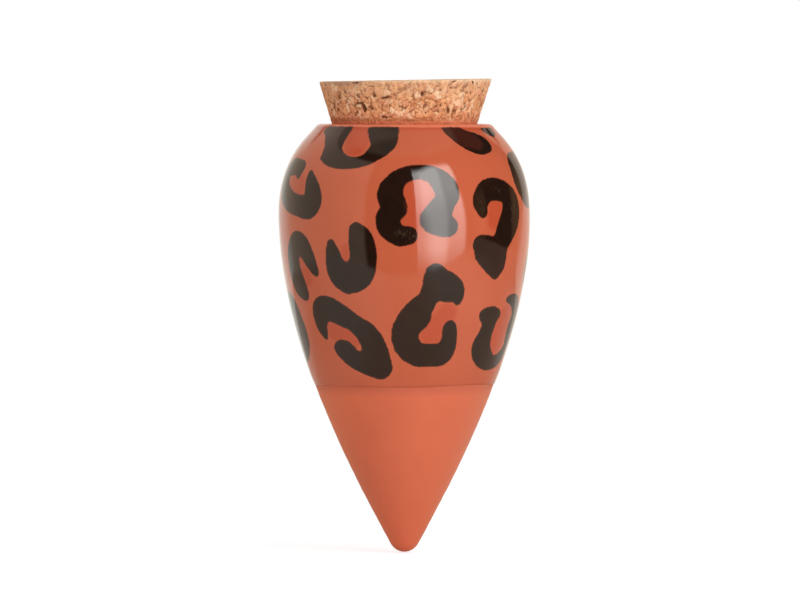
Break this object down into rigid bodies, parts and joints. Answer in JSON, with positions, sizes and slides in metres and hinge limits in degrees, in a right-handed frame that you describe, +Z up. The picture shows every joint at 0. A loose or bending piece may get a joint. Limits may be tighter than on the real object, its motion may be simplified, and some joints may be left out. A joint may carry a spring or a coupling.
{
  "type": "terracotta olla",
  "caption": "Teardrop terracotta watering olla: glazed belly above the soil line, bare porous cone to bury below it, open mouth closed by a tapered cork that lifts out.",
  "frame": {"origin": "on the pot's axis at the glaze line, which is where the soil's surface meets the pot", "axes": "+Z up along the axis, from the buried tip to the cork; the pot is round, so X and Y are free"},
  "size_m": [0.09, 0.09, 0.169],
  "materials": {
    "terracotta": "matte",
    "glaze": "polished",
    "cork": "matte"
  },
  "bodies": {
    "pot": {"clay_body": "terracotta", "glaze_coat": "glaze"},
    "stopper": {"cork_stopper": "cork"}
  },
  "joints": [
    {"name": "stopper_lift", "type": "slide", "parent": "pot", "child": "stopper", "axis": [0, 0, 1], "range_m": [0, 0.06]}
  ]
}
